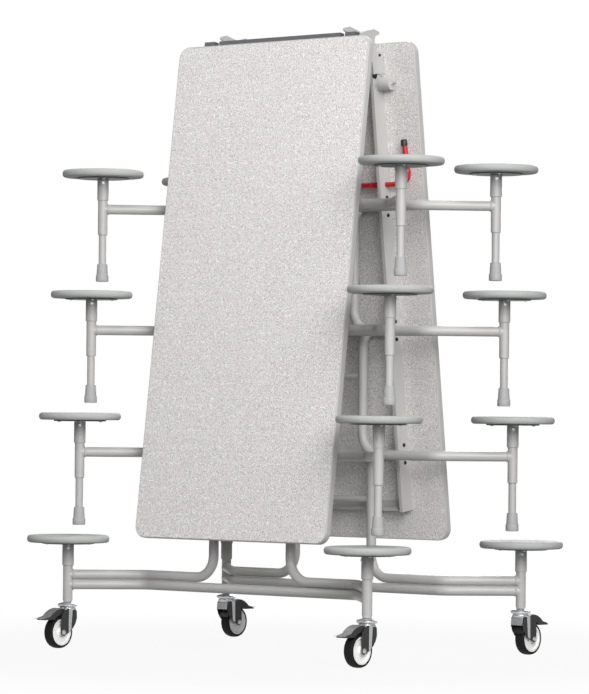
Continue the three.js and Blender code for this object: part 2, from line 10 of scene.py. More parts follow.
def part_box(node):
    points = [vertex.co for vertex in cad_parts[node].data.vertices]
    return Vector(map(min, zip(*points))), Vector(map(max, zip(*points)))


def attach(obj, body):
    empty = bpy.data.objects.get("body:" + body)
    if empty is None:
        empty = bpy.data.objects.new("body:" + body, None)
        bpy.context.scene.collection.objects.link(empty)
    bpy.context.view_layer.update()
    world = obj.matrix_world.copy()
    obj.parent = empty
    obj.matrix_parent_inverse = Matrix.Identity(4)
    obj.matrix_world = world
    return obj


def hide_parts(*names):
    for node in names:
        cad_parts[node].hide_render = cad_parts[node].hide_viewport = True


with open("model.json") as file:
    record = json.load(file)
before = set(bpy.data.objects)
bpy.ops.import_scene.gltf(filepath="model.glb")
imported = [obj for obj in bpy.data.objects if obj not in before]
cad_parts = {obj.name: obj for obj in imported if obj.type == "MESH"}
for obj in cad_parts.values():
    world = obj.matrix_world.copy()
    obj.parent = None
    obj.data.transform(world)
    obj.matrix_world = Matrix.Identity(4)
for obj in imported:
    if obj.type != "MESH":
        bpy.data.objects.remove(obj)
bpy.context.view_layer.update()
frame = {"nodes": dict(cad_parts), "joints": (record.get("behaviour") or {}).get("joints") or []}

# Camera: stands far off in front of the table's right corner, just above seat height.
# A long lens keeps the uprights almost parallel, as in a catalogue picture.
CAMERA_PLACE = (7.638, -9.277, 0.790)
CAMERA_YAW = radians(39.47)
CAMERA_TILT = radians(0.96)
CAMERA_ROLL = radians(0.52)
CAMERA_LENS = 191.2
CAMERA_FAR = 60

camera = bpy.data.objects.new("photo_camera", bpy.data.cameras.new("photo_camera"))
camera.data.lens = CAMERA_LENS
camera.data.clip_end = CAMERA_FAR
camera.matrix_world = (
    Matrix.Translation(CAMERA_PLACE)
    @ Matrix.Rotation(CAMERA_YAW, 4, "Z")
    @ Matrix.Rotation(pi / 2 + CAMERA_TILT, 4, "X")
    @ Matrix.Rotation(CAMERA_ROLL, 4, "Z")
)
bpy.context.scene.collection.objects.link(camera)
bpy.context.scene.camera = camera
bpy.context.scene.view_settings.view_transform = "Standard"


# Studio: a white floor that keeps a soft shadow, a white surround and five large lamps.
# Floor and surround look white to the camera, but light the table very little.
FLOOR_HALF = 7.0
FLOOR_GREY = 0.18
FLOOR_ROUGHNESS = 0.9
FLOOR_GLOW = 0.93
SHADOW_NEAR = 1.0
SHADOW_FAR = 2.4
WORLD_STRENGTH = 0.06


def floor_sheet():
    """A flat square of four corners at z = 0."""
    mesh = bpy.data.meshes.new("studio_floor")
    side = FLOOR_HALF
    corners = [(-side, -side, 0), (side, -side, 0), (side, side, 0), (-side, side, 0)]
    mesh.from_pydata(corners, [], [(0, 1, 2, 3)])
    floor = bpy.data.objects.new("studio_floor", mesh)
    bpy.context.scene.collection.objects.link(floor)
    return floor


def floor_paper():
    """White paper: part of what the camera sees is a plain white glow, the rest keeps shadows.
    The glow's share rises to the whole with the distance from the table."""
    paper = bpy.data.materials.new("floor_paper")
    paper.use_nodes = True
    nodes, links = paper.node_tree.nodes, paper.node_tree.links
    matt = nodes["Principled BSDF"]
    matt.inputs["Base Color"].default_value = (FLOOR_GREY, FLOOR_GREY, FLOOR_GREY, 1)
    matt.inputs["Roughness"].default_value = FLOOR_ROUGHNESS
    glow = nodes.new("ShaderNodeEmission")
    rays = nodes.new("ShaderNodeLightPath")
    seen = nodes.new("ShaderNodeMath")
    seen.operation = "MAXIMUM"
    place = nodes.new("ShaderNodeTexCoord")
    distance = nodes.new("ShaderNodeVectorMath")
    distance.operation = "LENGTH"
    fade = nodes.new("ShaderNodeMapRange")
    fade.interpolation_type = "SMOOTHSTEP"
    fade.inputs["From Min"].default_value = SHADOW_NEAR
    fade.inputs["From Max"].default_value = SHADOW_FAR
    fade.inputs["To Min"].default_value = FLOOR_GLOW
    share = nodes.new("ShaderNodeMath")
    share.operation = "MULTIPLY"
    blend = nodes.new("ShaderNodeMixShader")
    links.new(rays.outputs["Is Camera Ray"], seen.inputs[0])
    links.new(rays.outputs["Is Glossy Ray"], seen.inputs[1])
    links.new(place.outputs["Object"], distance.inputs[0])
    links.new(distance.outputs["Value"], fade.inputs["Value"])
    links.new(seen.outputs[0], share.inputs[0])
    links.new(fade.outputs["Result"], share.inputs[1])
    links.new(share.outputs[0], blend.inputs["Fac"])
    links.new(matt.outputs[0], blend.inputs[1])
    links.new(glow.outputs[0], blend.inputs[2])
    links.new(blend.outputs[0], nodes["Material Output"].inputs["Surface"])
    return paper


floor = floor_sheet()
floor.data.materials.append(floor_paper())

world = bpy.data.worlds.new("white_studio")
bpy.context.scene.world = world
world.use_nodes = True
world_nodes, world_links = world.node_tree.nodes, world.node_tree.links
sky = world_nodes["Background"]
sky.inputs["Color"].default_value = (1, 1, 1, 1)
sky_rays = world_nodes.new("ShaderNodeLightPath")
sky_seen = world_nodes.new("ShaderNodeMath")
sky_seen.operation = "MAXIMUM"
sky_level = world_nodes.new("ShaderNodeMapRange")
sky_level.inputs["To Min"].default_value = WORLD_STRENGTH
sky_level.inputs["To Max"].default_value = 1.0
world_links.new(sky_rays.outputs["Is Camera Ray"], sky_seen.inputs[0])
world_links.new(sky_rays.outputs["Is Transmission Ray"], sky_seen.inputs[1])
world_links.new(sky_seen.outputs[0], sky_level.inputs["Value"])
world_links.new(sky_level.outputs["Result"], sky.inputs["Strength"])

# Each lamp has a place, a side length and a power in watts.
LAMP_TARGET = (0.0, 0.0, 1.0)
LAMPS = {
    "left_lamp": ((-4.5, -5.0, 4.6), 4.0, 128),
    "front_lamp": ((5.4, -5.4, 3.0), 4.0, 315),
    "right_lamp": ((6.6, -3.4, 4.8), 5.0, 465),
    "top_lamp": ((0.6, -0.6, 6.0), 3.5, 90),
    "back_lamp": ((-3.0, 6.6, 3.8), 4.0, 380),
}
for lamp_name, (lamp_place, lamp_size, lamp_power) in LAMPS.items():
    lamp = bpy.data.objects.new(lamp_name, bpy.data.lights.new(lamp_name, "AREA"))
    lamp.data.size = lamp_size
    lamp.data.energy = lamp_power
    aim = Vector(LAMP_TARGET) - Vector(lamp_place)
    turn = aim.to_track_quat("-Z", "Y").to_matrix().to_4x4()
    lamp.matrix_world = Matrix.Translation(lamp_place) @ turn
    bpy.context.scene.collection.objects.link(lamp)


# Hinge tube: one straight painted steel tube across the table at the fold line.
# Four hinge plates turn on it, and its ends are closed with flat caps.
joint_at = {joint["name"]: np.array(joint["pos_m"], float) for joint in frame["joints"]}
HINGE = joint_at["fold_front"]
HINGE_RADIUS = 0.015
HINGE_HALF = float(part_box("hinge_tube")[1][0])
UP = np.array([0.0, 0.0, 1.0])


def grid_faces(rows, columns, wrap_rows=False):
    """Quads of a grid of rows by columns: each joins a point to the next column and next row."""
    row = np.arange(rows if wrap_rows else rows - 1)[:, None]
    column = np.arange(columns)[None, :]
    beside = (column + 1) % columns
    above = (row + 1) % rows
    corners = [
        row * columns + column,
        row * columns + beside,
        above * columns + beside,
        above * columns + column,
    ]
    return np.stack(np.broadcast_arrays(*corners), axis=-1).reshape(-1, 4).tolist()


def unit(vectors):
    """Vectors scaled to length one."""
    return vectors / np.linalg.norm(vectors, axis=-1, keepdims=True)


def swept_bar(path, radius, reference, sides=28):
    """A circle carried along a path: each ring is the path's point plus the radius times a turn
    between the reference direction, made square to the path, and the direction square to both.
    Flat caps close the ends."""
    path = np.asarray(path, float)
    step = unit(np.diff(path, axis=0))
    along = unit(np.vstack([step[:1], step[:-1] + step[1:], step[-1:]]))
    across = unit(reference - (along @ reference)[:, None] * along)
    beside = np.cross(along, across)
    turn = np.linspace(0, 2 * pi, sides, endpoint=False)[None, :, None]
    spoke = np.cos(turn) * across[:, None] + np.sin(turn) * beside[:, None]
    rings = path[:, None] + radius * spoke
    count = len(path) * sides
    caps = [list(range(sides - 1, -1, -1)), list(range(count - sides, count))]
    return rings.reshape(-1, 3), grid_faces(len(path), sides) + caps


def srgb(red, green, blue):
    """A screen colour of 0 to 255 as linear light."""
    screen = np.array([red, green, blue]) / 255
    light = np.where(screen <= 0.04045, screen / 12.92, ((screen + 0.055) / 1.055) ** 2.4)
    return (*light.tolist(), 1.0)


def surface_noise_group():
    """Two noises on Object coordinates: a broad one for colour and gloss, a fine one for grain."""
    group = bpy.data.node_groups.new("surface_noise", "ShaderNodeTree")
    for socket in ("Broad Scale", "Fine Scale"):
        group.interface.new_socket(socket, in_out="INPUT", socket_type="NodeSocketFloat")
    for socket in ("Broad", "Fine"):
        group.interface.new_socket(socket, in_out="OUTPUT", socket_type="NodeSocketFloat")
    inside, outside = group.nodes.new("NodeGroupInput"), group.nodes.new("NodeGroupOutput")
    place = group.nodes.new("ShaderNodeTexCoord")
    for noise_name in ("Broad", "Fine"):
        noise = group.nodes.new("ShaderNodeTexNoise")
        noise.inputs["Detail"].default_value = 3
        group.links.new(place.outputs["Object"], noise.inputs["Vector"])
        group.links.new(inside.outputs[noise_name + " Scale"], noise.inputs["Scale"])
        group.links.new(noise.outputs["Fac"], outside.inputs[noise_name])
    return group


SURFACE_NOISE = surface_noise_group()
GRAIN_DEPTH = 0.0004


def coating(name, light, dark, gloss, metal=0.0, broad=14.0, fine=900.0, bump=0.05):
    """A coated or moulded surface: colour and roughness drift between two ends with the broad
    noise, and the fine noise raises the grain."""
    made = bpy.data.materials.new(name)
    made.use_nodes = True
    nodes, links = made.node_tree.nodes, made.node_tree.links
    shader = nodes["Principled BSDF"]
    shader.inputs["Metallic"].default_value = metal
    noise = nodes.new("ShaderNodeGroup")
    noise.node_tree = SURFACE_NOISE
    noise.inputs["Broad Scale"].default_value = broad
    noise.inputs["Fine Scale"].default_value = fine
    colour = nodes.new("ShaderNodeMix")
    colour.data_type = "RGBA"
    colour.inputs["A"].default_value = dark
    colour.inputs["B"].default_value = light
    links.new(noise.outputs["Broad"], colour.inputs["Factor"])
    links.new(colour.outputs["Result"], shader.inputs["Base Color"])
    rough = nodes.new("ShaderNodeMapRange")
    rough.inputs["To Min"].default_value = gloss[0]
    rough.inputs["To Max"].default_value = gloss[1]
    links.new(noise.outputs["Broad"], rough.inputs["Value"])
    links.new(rough.outputs["Result"], shader.inputs["Roughness"])
    relief = nodes.new("ShaderNodeBump")
    relief.inputs["Strength"].default_value = bump
    relief.inputs["Distance"].default_value = GRAIN_DEPTH
    links.new(noise.outputs["Fine"], relief.inputs["Height"])
    links.new(relief.outputs["Normal"], shader.inputs["Normal"])
    return made


ROUNDING_STEPS = 2
ROUNDING_ANGLE = radians(40)


def piece(name, surfaces, materials, body, nodes=(), crease=35, bevel=0.0):
    """Joins surfaces of points and faces into one object that rides on a body.
    A surface's third entry, where it has one, is its material's place in the list."""
    points = np.vstack([surface[0] for surface in surfaces])
    starts = np.cumsum([0] + [len(surface[0]) for surface in surfaces])
    faces = [
        [corner + int(start) for corner in face]
        for surface, start in zip(surfaces, starts)
        for face in surface[1]
    ]
    paint = [
        surface[2] if len(surface) > 2 else 0
        for surface in surfaces
        for _ in surface[1]
    ]
    mesh = bpy.data.meshes.new(name)
    mesh.from_pydata(points.tolist(), [], faces)
    for material in materials:
        mesh.materials.append(material)
    mesh.polygons.foreach_set("material_index", paint)
    mesh.polygons.foreach_set("use_smooth", [True] * len(faces))
    mesh.set_sharp_from_angle(angle=radians(crease))
    mesh.update()
    made = bpy.data.objects.new(name, mesh)
    bpy.context.scene.collection.objects.link(made)
    if bevel:
        rounding = made.modifiers.new("rounding", "BEVEL")
        rounding.width = bevel
        rounding.segments = ROUNDING_STEPS
        rounding.limit_method = "ANGLE"
        rounding.angle_limit = ROUNDING_ANGLE
        rounding.harden_normals = True
    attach(made, body)
    if nodes:
        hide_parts(*nodes)
    return made


grey_paint = coating("grey_powder_coat", srgb(188, 187, 185), srgb(179, 178, 176), (0.34, 0.46))
hinge_line = HINGE + np.outer([-HINGE_HALF, HINGE_HALF], [1, 0, 0])
hinge_bar = swept_bar(hinge_line, HINGE_RADIUS, UP)
piece("hinge_tube_round", [hinge_bar], [grey_paint], "hinge", ["hinge_tube"])


# Table top halves: two boards of pressed wood with a light speckled laminate on both faces.
# A slightly darker plastic band is glued round the edge, and its corners are eased.
TOP_WIDTH = 0.800
TOP_LENGTH = 1.625
TOP_THICKNESS = 0.025
TOP_CORNER = 0.040
TOP_EASE = 0.0035
CORNER_STEPS = 17
EASE_STEPS = 6
CENTRE_GAP = 0.004
HINGE_TO_SURFACE = 0.126
HALVES = {"front": -1, "rear": 1}
row_line = unit(joint_at["level_rear_4"] - joint_at["level_rear_1"])
LEAN_SIN, LEAN_COS = row_line[1], -row_line[2]


def leaf_points(sign, across, along, above):
    """Points of a folded half: across runs along the fold line, along runs down the board from
    the hinge, and above runs out of the board's face, all from the hinge line. The front half is
    the rear one turned half round the upright axis."""
    across, along, above = np.broadcast_arrays(across, along, above)
    outward = along * LEAN_SIN + above * LEAN_COS
    upward = above * LEAN_SIN - along * LEAN_COS
    return np.stack([sign * across, sign * outward, HINGE[2] + upward], axis=-1)


def board(sign):
    """An eased edge carried round a rectangle with round corners: each loop is the outline moved
    inward by the edge profile's inset, at the profile's height. The first and last loops are the
    edges of the two faces."""
    quarter = np.linspace(0, pi / 2, CORNER_STEPS)
    turn = np.concatenate([quarter + k * pi / 2 for k in range(4)])
    half_width, half_length = TOP_WIDTH / 2 - TOP_CORNER, TOP_LENGTH / 2 - TOP_CORNER
    side = np.repeat([1, -1, -1, 1], CORNER_STEPS)
    end = np.repeat([1, 1, -1, -1], CORNER_STEPS)
    middle = CENTRE_GAP / 2 + TOP_LENGTH / 2
    ease = np.linspace(0, pi / 2, EASE_STEPS)
    inset = TOP_EASE * np.concatenate([1 - np.sin(ease), 1 - np.cos(ease)])
    under = HINGE_TO_SURFACE - TOP_THICKNESS
    low = under + TOP_EASE * (1 - np.cos(ease))
    high = HINGE_TO_SURFACE - TOP_EASE * (1 - np.sin(ease))
    level = np.concatenate([low, high])[:, None]
    reach = TOP_CORNER - inset[:, None]
    across = side * half_width + reach * np.cos(turn)
    along = middle + end * half_length + reach * np.sin(turn)
    points = leaf_points(sign, across, along, level).reshape(-1, 3)
    count = len(turn)
    last = len(points)
    band = (points, grid_faces(len(inset), count), 1)
    faces = [list(range(count - 1, -1, -1)), list(range(last - count, last))]
    return [band, (points, faces, 0)]


SPECKS = ((340.0, srgb(174, 169, 168)), (300.0, srgb(246, 244, 243)))
SPECK_START = 0.54
SPECK_FULL = 0.60


def speckled_laminate():
    """Pale laminate: soft clouds, then fine dark specks and fine light specks. A speck shows where
    its noise rises from the start level to the full one."""
    light, dark = srgb(224, 221, 220), srgb(210, 207, 206)
    made = coating("speckled_laminate", light, dark, (0.42, 0.55), 0, 90.0, 1500.0, 0.03)
    nodes, links = made.node_tree.nodes, made.node_tree.links
    shader = nodes["Principled BSDF"]
    tone = shader.inputs["Base Color"].links[0].from_socket
    place = nodes.new("ShaderNodeTexCoord")
    for speck_scale, speck_colour in SPECKS:
        specks = nodes.new("ShaderNodeTexNoise")
        specks.inputs["Scale"].default_value = speck_scale
        specks.inputs["Detail"].default_value = 1
        links.new(place.outputs["Object"], specks.inputs["Vector"])
        mask = nodes.new("ShaderNodeMapRange")
        mask.inputs["From Min"].default_value = SPECK_START
        mask.inputs["From Max"].default_value = SPECK_FULL
        links.new(specks.outputs["Fac"], mask.inputs["Value"])
        layer = nodes.new("ShaderNodeMix")
        layer.data_type = "RGBA"
        layer.inputs["B"].default_value = speck_colour
        links.new(mask.outputs["Result"], layer.inputs["Factor"])
        links.new(tone, layer.inputs["A"])
        tone = layer.outputs["Result"]
    links.new(tone, shader.inputs["Base Color"])
    return made


laminate = speckled_laminate()
band_light, band_dark = srgb(188, 187, 186), srgb(179, 178, 177)
edge_band = coating("grey_edge_band", band_light, band_dark, (0.4, 0.5), 0, 20.0, 700.0)
for half, sign in HALVES.items():
    piece(
        f"board_{half}", board(sign), [laminate, edge_band],
        f"{half}_half", [f"table_top_{half}"], crease=30,
    )


# Rails, cross ties and joint ledge: folded steel angles screwed under the boards.
# The rails carry the welded hinge plates; the ledge is a dark grey strip under the centre joint,
# whose dark grey is partly its own colour and partly painted shade.
SIDES = {"left": -1, "right": 1}
# Joint ledge colour: partly the strip's own dark grey and partly painted shade at the centre joint.
ledge_grey_and_painted_shade = coating("dark_grey_paint", srgb(92, 93, 96), srgb(78, 79, 82), (0.4, 0.52))
RAIL_NODES = [f"rail_{half}_{side}" for half in HALVES for side in SIDES]
TIE_NODES = [f"cross_tie_{half}" for half in HALVES]


def repaint(node, material):
    """Gives a frame node its finish."""
    mesh = frame["nodes"][node].data
    mesh.materials.clear()
    mesh.materials.append(material)


for node in RAIL_NODES + TIE_NODES:
    repaint(node, grey_paint)
repaint("joint_ledge", ledge_grey_and_painted_shade)


# Rail fasteners and spring drums: blackened screws beside the stool pivots, zinc and blackened
# ones by the hinge. One rail of each half carries the round painted housing of its lift spring,
# which a long zinc bolt closes.
RAIL_WEB_OUTSIDE = 0.267
PIVOT_LEVEL = 0.077
ROWS = 4
FIRST_ROW = 0.125
ROW_PITCH = 0.405
ROW_ALONG = [FIRST_ROW + ROW_PITCH * row for row in range(ROWS)]
ROW_SCREW_SPREAD = 0.029
ROW_SCREW_RADIUS = 0.0045
HINGE_SCREW = (0.103, 0.092)
LATCH_SCREW = (0.104, 0.056)
LATCH_SCREW_RADIUS = 0.0075
LATCH_SCREW_HEIGHT = 0.007
PLATE_SCREW = (0.040, 0.081)
PLATE_SCREW_RADIUS = 0.0034
PLATE_OUTSIDE = 0.2736
DRUM_BOLT_RADIUS = 0.006
DRUM_BOLT_HEIGHT = 0.012
DRUM_DROP = 0.008
DRUM_RADIUS = 0.0222
DRUM_LENGTH = 0.0543
DRUM_LEVEL = 0.0767
DRUM_COLLAR_RADIUS = 0.0238
DRUM_COLLAR_LENGTH = 0.004
DRUM_MOUTH = 0.012
AXES = np.eye(3)
zinc_light, zinc_dark = srgb(214, 215, 217), srgb(188, 190, 193)
zinc = coating("bright_zinc", zinc_light, zinc_dark, (0.28, 0.42), 0.75, 60.0, 600.0, 0.04)
oxide_light, oxide_dark = srgb(38, 38, 40), srgb(28, 28, 30)
black_oxide = coating("black_oxide", oxide_light, oxide_dark, (0.45, 0.6), 0.4, 60.0, 600.0, 0.03)


def turned(profile, centre, axis, sides=48, wrap=False):
    """A profile of radius and height spun about an axis: each ring is the centre plus the height
    along the axis plus the radius times a full turn square to it. Flat caps close the ends of an
    open profile."""
    profile = np.asarray(profile, float)
    axis = unit(np.asarray(axis, float))
    first = unit(np.cross(AXES[int(np.argmin(np.abs(axis)))], axis))
    second = np.cross(axis, first)
    turn = np.linspace(0, 2 * pi, sides, endpoint=False)[:, None]
    spoke = np.cos(turn) * first + np.sin(turn) * second
    rings = np.asarray(centre) + profile[:, None, 1:] * axis + profile[:, None, :1] * spoke
    count = len(profile) * sides
    caps = [] if wrap else [list(range(sides - 1, -1, -1)), list(range(count - sides, count))]
    return rings.reshape(-1, 3), grid_faces(len(profile), sides, wrap) + caps


def cap_screw(centre, axis, radius=0.006, height=0.004):
    """A round screw head on a thin washer: a low dome with a shallow socket."""
    profile = [
        (radius * 1.5, 0),
        (radius * 1.5, 0.001),
        (radius, 0.0012),
        (radius, height * 0.7),
        (radius * 0.8, height),
        (radius * 0.45, height),
        (radius * 0.4, height * 0.5),
    ]
    return turned(profile, centre, axis, 16)


for half, sign in HALVES.items():
    screws = []
    for side in SIDES.values():
        outward = np.array([side * sign, 0, 0])
        for along in ROW_ALONG[1:]:
            for shift in (-ROW_SCREW_SPREAD, ROW_SCREW_SPREAD):
                place = leaf_points(sign, side * RAIL_WEB_OUTSIDE, along + shift, PIVOT_LEVEL)
                screws.append((*cap_screw(place, outward, ROW_SCREW_RADIUS), 1))
        hinge_at = leaf_points(sign, side * RAIL_WEB_OUTSIDE, *HINGE_SCREW)
        screws.append(cap_screw(hinge_at, outward))
        latch_at = leaf_points(sign, side * RAIL_WEB_OUTSIDE, *LATCH_SCREW)
        latch = cap_screw(latch_at, outward, LATCH_SCREW_RADIUS, LATCH_SCREW_HEIGHT)
        screws.append((*latch, 1))
        if half == "rear":
            plate_at = leaf_points(sign, side * PLATE_OUTSIDE, *PLATE_SCREW)
            screws.append((*cap_screw(plate_at, outward, PLATE_SCREW_RADIUS), 1))
    piece(f"rail_screws_{half}", screws, [zinc, black_oxide], f"{half}_half")

    drum_face = leaf_points(sign, RAIL_WEB_OUTSIDE, ROW_ALONG[0] + DRUM_DROP, DRUM_LEVEL)
    drum_axis = np.array([sign, 0, 0])
    shell = [
        (DRUM_COLLAR_RADIUS, 0.0002),
        (DRUM_COLLAR_RADIUS, DRUM_COLLAR_LENGTH),
        (DRUM_RADIUS, DRUM_COLLAR_LENGTH + 0.0004),
        (DRUM_RADIUS, DRUM_LENGTH - 0.003),
        (DRUM_RADIUS - 0.0008, DRUM_LENGTH - 0.0008),
        (DRUM_RADIUS - 0.003, DRUM_LENGTH),
        (DRUM_MOUTH, DRUM_LENGTH),
    ]
    bolt_at = drum_face + drum_axis * DRUM_LENGTH
    bolt = cap_screw(bolt_at, drum_axis, DRUM_BOLT_RADIUS, DRUM_BOLT_HEIGHT)
    drum = [turned(shell, drum_face, drum_axis), (*bolt, 1)]
    piece(f"spring_drum_{half}", drum, [grey_paint, zinc], f"{half}_half")


# Lock handle: a red steel rod through both rear rails, bent up into a handle with a black grip.
# Two short welded pawls between the rails turn with it.
LOCK_ALONG = 0.459
LOCK_LEVEL = 0.079
LOCK_RADIUS = 0.008
LOCK_END = 0.285
HANDLE_OUT = 0.364
HANDLE_RISE = 0.141
HANDLE_LEAN = 0.014
HANDLE_BEND = 0.036
GRIP_LENGTH = 0.022
GRIP_OVER = 0.003
GRIP_RADIUS = 0.0106
PAWL_LENGTH = 0.030
PAWL_WIDTH = 0.014
PAWL_OUT = 0.223
PAWL_THICKNESS = 0.006


def rounded_path(points, radii, steps=10):
    """A line of points whose corners are arcs: each arc starts and ends on the two lines beside
    its corner and turns evenly between them about the arc's centre."""
    points = [np.asarray(point, float) for point in points]
    path = [points[0][None]]
    for before, corner, after, radius in zip(points, points[1:], points[2:], radii):
        back, ahead = unit(before - corner), unit(after - corner)
        half = np.arccos(np.clip(back @ ahead, -1, 1)) / 2
        centre = corner + unit(back + ahead) * radius / sin(half)
        start = corner + back * radius / np.tan(half) - centre
        end = corner + ahead * radius / np.tan(half) - centre
        sweep = pi - 2 * half
        share = np.linspace(0, 1, steps + 1)[:, None]
        spoke = np.sin((1 - share) * sweep) * start + np.sin(share * sweep) * end
        path.append(centre + spoke / sin(sweep))
    path.append(points[-1][None])
    return np.vstack(path)


def plate(outline, inner, outer, place):
    """A flat outline given thickness: one copy at the inner side, one at the outer, and a band
    between them."""
    outline = np.asarray(outline, float)
    count = len(outline)
    near = place(inner, outline[:, 0], outline[:, 1])
    far = place(outer, outline[:, 0], outline[:, 1])
    caps = [list(range(count - 1, -1, -1)), list(range(count, 2 * count))]
    return np.vstack([near, far]), grid_faces(2, count) + caps


def rear_leaf(across, along, above):
    """Points of the rear half."""
    return leaf_points(1, across, along, above)


red_paint = coating("red_powder_coat", srgb(196, 30, 42), srgb(180, 24, 36), (0.3, 0.42))
black_light, black_dark = srgb(46, 46, 47), srgb(36, 36, 37)
black_plastic = coating("black_plastic", black_light, black_dark, (0.45, 0.6), 0, 40.0, 800.0, 0.08)
handle_top = rear_leaf(HANDLE_OUT - HANDLE_LEAN, LOCK_ALONG - HANDLE_RISE, LOCK_LEVEL)
handle_corner = rear_leaf(HANDLE_OUT, LOCK_ALONG, LOCK_LEVEL)
handle_start = rear_leaf(-LOCK_END, LOCK_ALONG, LOCK_LEVEL)
handle_line = rounded_path([handle_start, handle_corner, handle_top], [HANDLE_BEND])
face_normal = rear_leaf(0.0, 0.0, 1.0) - rear_leaf(0.0, 0.0, 0.0)
rise = unit(handle_top - handle_corner)
grip_profile = [
    (0.0088, 0),
    (0.0104, 0.0008),
    (GRIP_RADIUS, GRIP_LENGTH - 0.004),
    (0.0092, GRIP_LENGTH - 0.001),
    (0.006, GRIP_LENGTH),
]
grip = turned(grip_profile, handle_top - rise * (GRIP_LENGTH - GRIP_OVER), rise)
pawl_outline = [
    (LOCK_ALONG - PAWL_WIDTH / 2, LOCK_LEVEL - PAWL_LENGTH),
    (LOCK_ALONG + PAWL_WIDTH / 2, LOCK_LEVEL - PAWL_LENGTH),
    (LOCK_ALONG + PAWL_WIDTH / 2, LOCK_LEVEL),
    (LOCK_ALONG - PAWL_WIDTH / 2, LOCK_LEVEL),
]
pawls = [
    plate(pawl_outline, PAWL_OUT - PAWL_THICKNESS, PAWL_OUT, rear_leaf),
    plate(pawl_outline, -PAWL_OUT, -PAWL_OUT + PAWL_THICKNESS, rear_leaf),
]
handle_parts = [swept_bar(handle_line, LOCK_RADIUS, face_normal), *pawls, (*grip, 1)]
handle_paint = [red_paint, black_plastic]
piece("lock_handle_bent", handle_parts, handle_paint, "lock", ["lock_handle"])


# Catch rod: a plain steel rod through both front rails, painted as the frame is.
# A round knob is pushed on its outer end.
CATCH_ALONG = 0.438
CATCH_LEVEL = 0.062
CATCH_END = 0.447
KNOB_RADIUS = 0.012
KNOB_LENGTH = 0.016
ROD_IN_KNOB = 0.004
rod_ends = np.array([-LOCK_END, CATCH_END - KNOB_LENGTH + ROD_IN_KNOB])
catch_line = leaf_points(-1, rod_ends, CATCH_ALONG, CATCH_LEVEL)
knob_profile = [
    (0.0105, 0),
    (KNOB_RADIUS, 0.0015),
    (KNOB_RADIUS, 0.011),
    (0.010, 0.0145),
    (0.006, KNOB_LENGTH),
]
knob_at = leaf_points(-1, CATCH_END - KNOB_LENGTH, CATCH_ALONG, CATCH_LEVEL)
knob = turned(knob_profile, knob_at, (-1, 0, 0))
catch_parts = [swept_bar(catch_line, LOCK_RADIUS, UP), knob]
piece("catch_rod_round", catch_parts, [grey_paint], "front_half", ["catch_rod"])


# Stool frames: bent and welded steel tubes, painted light grey. Two cranked legs hang from a
# pivot tube and turn out along the crossbar, whose angled arms carry a stool post at each end.
PIVOT_HEIGHT = joint_at["level_rear_4"][2]
PIVOT_RADIUS = 0.013
PIVOT_HALF = 0.2624
LEG_RADIUS = 0.016
LEG_OUT = 0.161
LEG_OFFSET = 0.0105
LEG_INSIDE_BAR = 0.044
LEG_SETBACK = 0.024
LEG_BEND = 0.072
KNEE_SLOPE = 1.6
KNEE_BEND = LEG_SETBACK * 1.5
BRACE_RADIUS = 0.010
BRACE_DROP = 0.150
BAR_RADIUS = 0.016
BAR_BEND = 0.060
BAR_HEIGHT = 0.240
LOWER_BAR_HEIGHT = 0.2075
ARM_BEND_OUT = 0.446
STOOL_OUT = 0.626
STOOL_REACH = 0.156
SLEEVE_RADIUS = 0.019
SLEEVE_LOW = 0.270
SLEEVE_HIGH = 0.3400
POST_RADIUS = 0.016
POST_LOW = 0.155
LOWER_RADIUS = 0.0125
LOWER_END = 0.0260
CASTOR_POST_END = 0.1506
STEM_BORE = 0.0070
STEM_BORE_DEPTH = 0.036
STOP_SCREW_OUT = 0.327
STOP_SCREW_RISE = 0.004
STOP_SCREW_RADIUS = 0.0065
STOP_SCREW_HEIGHT = 0.005
STOP_SCREW_SUNK = 0.0008
WELD_REACH = 0.0022
WELD_HALF_WIDTH = 0.0028
WELD_OFF_POST = 0.0015
SIDEWAYS = np.array([0.0, 1.0, 0.0])
pivot_ends = np.array([-PIVOT_HALF, PIVOT_HALF])
brace_ends = np.array([-LEG_OUT, LEG_OUT])


def arm_line(height, place):
    """The crossbar's centre line: straight between the legs, then angled out to the post on each
    side."""
    corners = [
        place(-STOOL_OUT, STOOL_REACH, height),
        place(-ARM_BEND_OUT, -LEG_SETBACK, height),
        place(ARM_BEND_OUT, -LEG_SETBACK, height),
        place(STOOL_OUT, STOOL_REACH, height),
    ]
    return rounded_path(corners, [BAR_BEND, BAR_BEND])


def leg_line(side, offset, is_end, place):
    """A leg's centre line: down from the pivot, cranked back, then out along the crossbar."""
    leg_at = side * LEG_OUT + offset
    corners = [
        place(leg_at, 0, PIVOT_HEIGHT),
        place(leg_at, -LEG_SETBACK, PIVOT_HEIGHT - LEG_SETBACK * KNEE_SLOPE),
        place(leg_at, -LEG_SETBACK, BAR_HEIGHT),
    ]
    if is_end:
        corners.append(place(side * ARM_BEND_OUT, -LEG_SETBACK, BAR_HEIGHT))
        corners.append(place(side * STOOL_OUT, STOOL_REACH, BAR_HEIGHT))
        return rounded_path(corners, [KNEE_BEND, LEG_BEND, BAR_BEND])
    toe_at = leg_at + side * (LEG_BEND + LEG_INSIDE_BAR)
    corners.append(place(toe_at, -LEG_SETBACK, BAR_HEIGHT))
    return rounded_path(corners, [KNEE_BEND, LEG_BEND])


